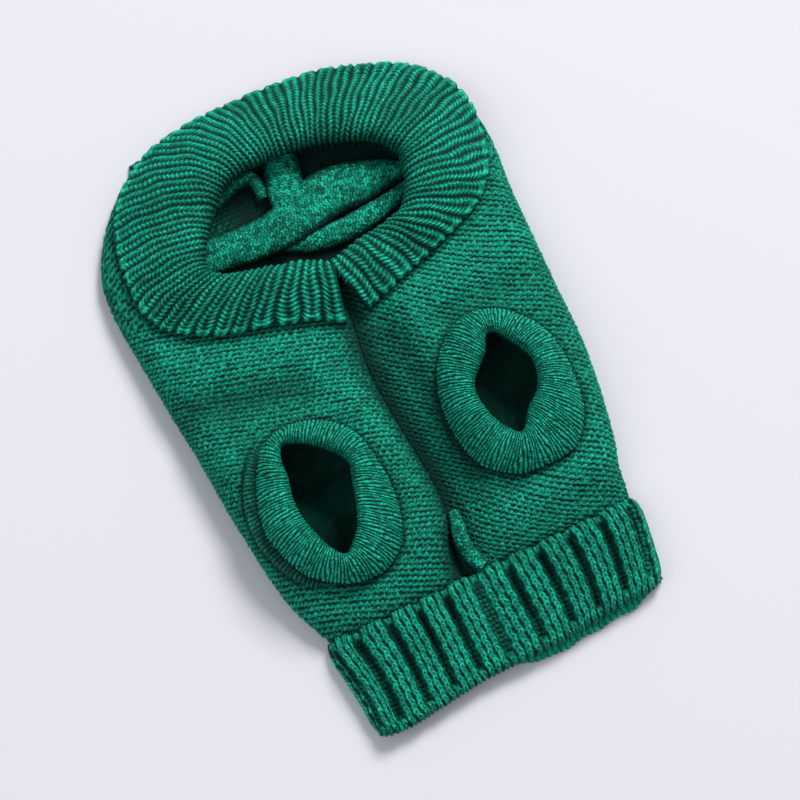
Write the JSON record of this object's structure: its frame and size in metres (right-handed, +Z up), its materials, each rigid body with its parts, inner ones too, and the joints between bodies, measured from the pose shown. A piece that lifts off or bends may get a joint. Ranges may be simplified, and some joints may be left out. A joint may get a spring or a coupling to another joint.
{
  "type": "dog sweater",
  "caption": "Knitted dog sweater lying belly up, panels flat on each other, with turned-down ribbed collar, two leg cuffs and ribbed waist band.",
  "frame": {"origin": "middle of the outline seen from above, on the surface that the sweater lies on", "axes": "+X across the body, +Y from the waist band to the neck, +Z up from the surface through the belly side"},
  "size_m": [0.2226, 0.3442, 0.0396],
  "materials": {
    "body_knit": "soft matte wool-like yarn",
    "rib_knit": "soft matte wool-like yarn",
    "cuff_knit": "soft matte wool-like yarn",
    "cable_knit": "soft matte wool-like yarn"
  },
  "bodies": {
    "root": {"belly_left": "body_knit", "belly_right": "body_knit", "back_panel": "body_knit", "collar": "rib_knit", "leg_cuff_left": "cuff_knit", "leg_cuff_right": "cuff_knit", "hem_front": "rib_knit", "hem_back": "rib_knit", "cable_strand_top": "cable_knit", "cable_strand_wide": "cable_knit", "cable_strand_low": "cable_knit", "cable_strand_loop": "cable_knit", "seam_roll": "body_knit"}
  },
  "joints": []
}
